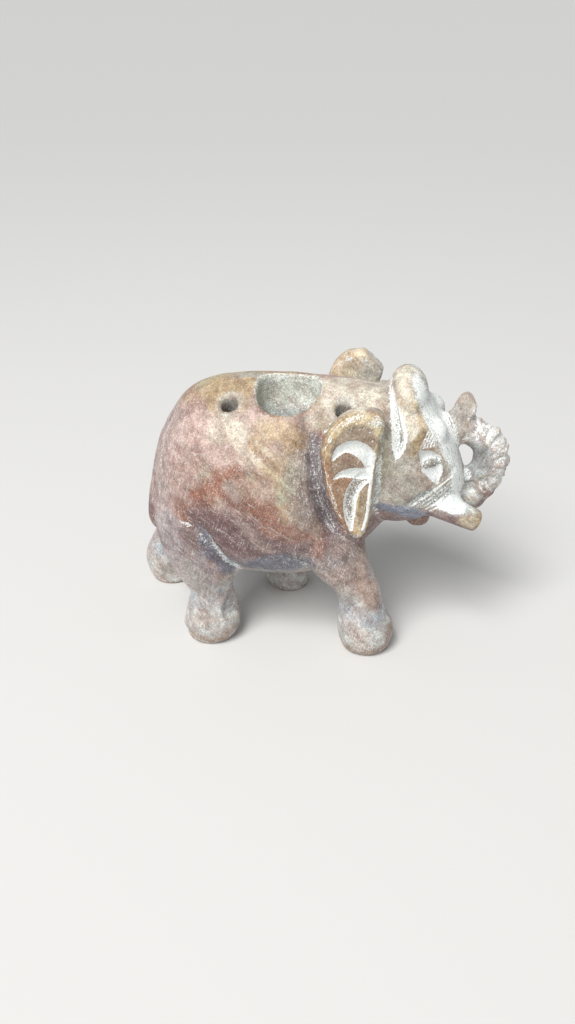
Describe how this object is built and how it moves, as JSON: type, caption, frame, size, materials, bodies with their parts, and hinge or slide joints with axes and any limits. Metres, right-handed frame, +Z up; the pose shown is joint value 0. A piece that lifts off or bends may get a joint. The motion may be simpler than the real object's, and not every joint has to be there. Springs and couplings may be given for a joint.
{
  "type": "marble elephant incense holder",
  "caption": "Small walking elephant carved in banded stone, trunk raised in a ring, with a well in its back for an incense cone and narrow holes for incense sticks.",
  "frame": {"origin": "below the middle of the bounding box, at the level of the four soles", "axes": "+X is the way the elephant faces, +Y is its left side, +Z is up"},
  "size_m": [0.0784, 0.0324, 0.0589],
  "materials": {
    "stone": "hand-carved, semi-matt polish on the body, with stone dust left in the cuts"
  },
  "bodies": {
    "root": {"carved_elephant": "stone"}
  },
  "joints": []
}
